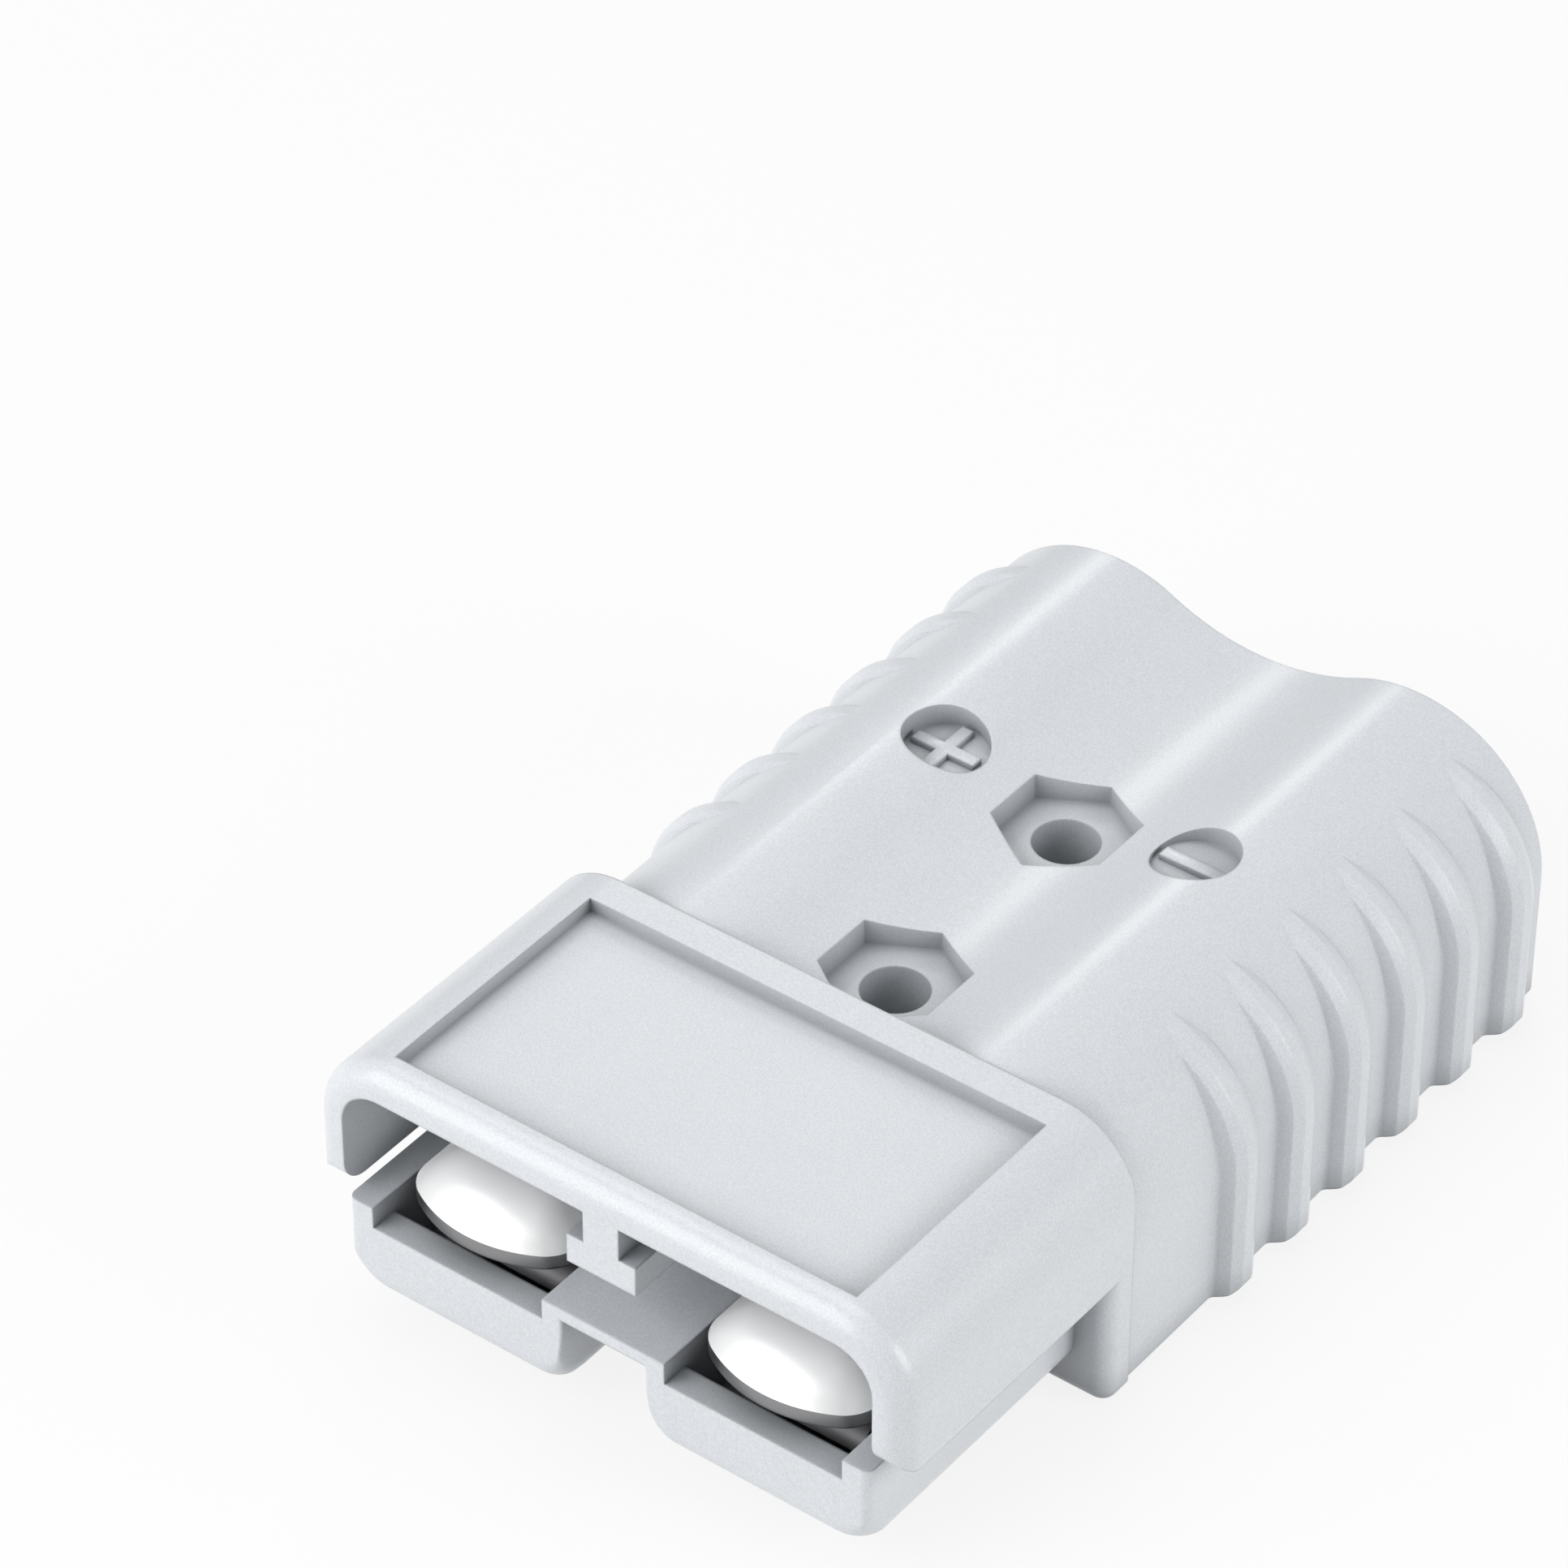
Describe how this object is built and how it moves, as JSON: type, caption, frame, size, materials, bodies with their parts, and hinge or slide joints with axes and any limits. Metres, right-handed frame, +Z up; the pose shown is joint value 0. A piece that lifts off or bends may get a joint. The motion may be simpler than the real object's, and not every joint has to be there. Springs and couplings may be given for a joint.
{
  "type": "genderless power connector",
  "caption": "Genderless two-pole power connector: ribbed double-barrel housing with a hooded T-rail, a two-lobed tongue, sprung flat contacts and crimp barrels.",
  "frame": {"origin": "middle of the flat side that the connector lies on", "axes": "+X across the two poles towards the negative pole, +Y along the connector towards the cable end, +Z up from the flat side"},
  "size_m": [0.0724, 0.108, 0.032],
  "materials": {
    "housing_plastic": "satin moulded polycarbonate, pale cool grey",
    "contact_silver": "bright silver plating on copper",
    "spring_steel": "rolled stainless spring strip"
  },
  "bodies": {
    "root": {"housing": "housing_plastic", "contact_positive": "contact_silver", "contact_negative": "contact_silver", "contact_spring_positive": "spring_steel", "contact_spring_negative": "spring_steel"}
  },
  "joints": []
}
